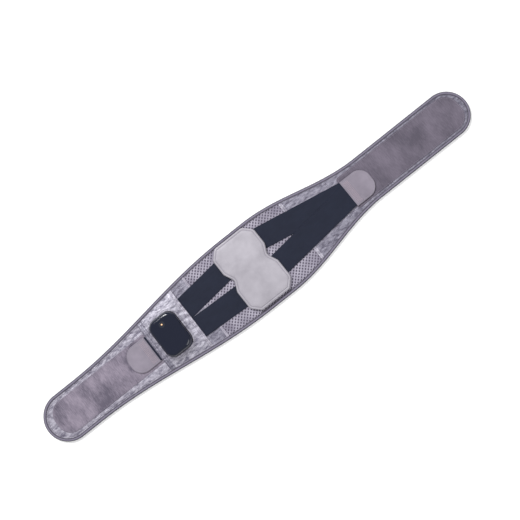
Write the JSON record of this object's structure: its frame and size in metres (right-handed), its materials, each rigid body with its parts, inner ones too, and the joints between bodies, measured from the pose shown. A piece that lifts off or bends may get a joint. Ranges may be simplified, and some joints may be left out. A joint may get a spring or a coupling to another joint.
{
  "type": "lumbar support belt",
  "caption": "Long tapered waist belt with a padded back, a mesh centre, crossing elastic pull straps with hook tabs, loop end wings and a domed heater controller in a pocket.",
  "frame": {"origin": "centre of the flat belt's outline, on the surface its skin side lies on", "axes": "+X along the belt away from the controller, +Y across it towards its upper edge, +Z out of its outer face"},
  "size_m": [1.1, 0.179, 0.0295],
  "materials": {
    "lining": "brushed knit over foam",
    "mesh": "spacer mesh",
    "satin": "satin weave",
    "binding": "ribbed tape",
    "loop": "brushed loop pile",
    "elastic": "ribbed elastic webbing",
    "leatherette": "fine grain leatherette",
    "hook": "moulded hooks",
    "foam": "open foam",
    "stiff_plate": "smooth",
    "spring_steel": "brushed",
    "heater_film": "smooth film",
    "lead": "matte",
    "tray": "fine texture",
    "base_shell": "fine texture",
    "gloss_shell": "high gloss",
    "screw_steel": "plain",
    "circuit": "solder mask",
    "cell": "foil pouch",
    "socket_metal": "plain",
    "contact": "plated",
    "key": "high gloss",
    "light": "translucent"
  },
  "bodies": {
    "back": {"back_core": "lining", "mesh_panel": "mesh", "back_binding": "binding", "pad_cover": "leatherette", "pad_foam": "foam", "pad_plate": "stiff_plate", "heating_film": "heater_film", "left_stay": "spring_steel", "right_stay": "spring_steel", "left_upper_strap": "elastic", "left_lower_strap": "elastic", "right_upper_strap": "elastic", "right_lower_strap": "elastic"},
    "left_side": {"left_side_core": "lining", "left_side_panel": "satin", "left_side_binding": "binding", "left_side_upper_strap": "elastic", "left_side_lower_strap": "elastic", "pocket_panel": "satin", "pocket_edge_tape": "binding", "dock_tray": "tray", "heater_lead": "lead"},
    "left_front": {"left_front_core": "lining", "left_front_panel": "satin", "left_front_binding": "binding", "left_front_loop": "loop", "pocket_hem": "satin"},
    "left_end": {"left_end_core": "lining", "left_end_panel": "satin", "left_end_binding": "binding", "left_end_loop": "loop", "closing_hook_patch": "hook"},
    "right_side": {"right_side_core": "lining", "right_side_panel": "satin", "right_side_binding": "binding", "right_side_upper_strap": "elastic", "right_side_lower_strap": "elastic"},
    "right_front": {"right_front_core": "lining", "right_front_panel": "satin", "right_front_binding": "binding", "right_front_loop": "loop"},
    "right_end": {"right_end_core": "lining", "right_end_panel": "satin", "right_end_binding": "binding", "right_end_loop": "loop"},
    "left_strap_pull": {"left_strap_end": "elastic"},
    "right_strap_pull": {"right_strap_end": "elastic"},
    "left_tab": {"left_tab_cover": "leatherette", "left_tab_hook": "hook"},
    "right_tab": {"right_tab_cover": "leatherette", "right_tab_hook": "hook"},
    "controller": {"controller_base": "base_shell", "controller_cover": "gloss_shell", "housing_screws": "screw_steel", "circuit_board": "circuit", "battery_cell": "cell", "usb_socket": "socket_metal", "contact_pins": "contact"},
    "key": {"power_key": "key", "light_guide": "light"}
  },
  "joints": [
    {"name": "left_wrap", "type": "hinge", "parent": "back", "child": "left_side", "pos_m": [-0.136, 0, 0], "axis": [0, -1, 0], "range_deg": [0, 60], "deforming": ["heater_lead"]},
    {"name": "left_front_wrap", "type": "hinge", "parent": "left_side", "child": "left_front", "pos_m": [-0.26395, 0, 0], "axis": [0, -1, 0], "range_deg": [0, 60]},
    {"name": "left_end_wrap", "type": "hinge", "parent": "left_front", "child": "left_end", "pos_m": [-0.38515, 0, 0], "axis": [0, -1, 0], "range_deg": [0, 60]},
    {"name": "right_wrap", "type": "hinge", "parent": "back", "child": "right_side", "pos_m": [0.117, 0, 0], "axis": [0, 1, 0], "range_deg": [0, 60]},
    {"name": "right_front_wrap", "type": "hinge", "parent": "right_side", "child": "right_front", "pos_m": [0.195, 0, 0], "axis": [0, 1, 0], "range_deg": [0, 60]},
    {"name": "right_end_wrap", "type": "hinge", "parent": "right_front", "child": "right_end", "pos_m": [0.3541, 0, 0], "axis": [0, 1, 0], "range_deg": [0, 60]},
    {"name": "left_pull", "type": "slide", "parent": "left_front", "child": "left_strap_pull", "axis": [-1, 0, 0], "range_m": [0, 0.03], "stiffness_N_per_m": 250, "deforming": ["left_strap_end"]},
    {"name": "right_pull", "type": "slide", "parent": "right_front", "child": "right_strap_pull", "axis": [1, 0, 0], "range_m": [0, 0.03], "stiffness_N_per_m": 250, "deforming": ["right_strap_end"]},
    {"name": "left_tab_peel", "type": "hinge", "parent": "left_strap_pull", "child": "left_tab", "pos_m": [-0.27515, 0, 0.0109], "axis": [0, 1, 0], "range_deg": [0, 100]},
    {"name": "right_tab_peel", "type": "hinge", "parent": "right_strap_pull", "child": "right_tab", "pos_m": [0.2395, -0.0025, 0.0109], "axis": [0, -1, 0], "range_deg": [0, 100]},
    {"name": "controller_lift", "type": "slide", "parent": "left_side", "child": "controller", "axis": [0, 0, 1], "range_m": [0, 0.025]},
    {"name": "key_press", "type": "slide", "parent": "controller", "child": "key", "axis": [0, 0, -1], "range_m": [0, 0.0005], "stiffness_N_per_m": 800, "springref_m": -0.0001}
  ],
  "couplings": [
    {"joint": "left_front_wrap", "follows": "left_wrap", "ratio": 1},
    {"joint": "left_end_wrap", "follows": "left_wrap", "ratio": 1},
    {"joint": "right_front_wrap", "follows": "right_wrap", "ratio": 1},
    {"joint": "right_end_wrap", "follows": "right_wrap", "ratio": 1}
  ]
}
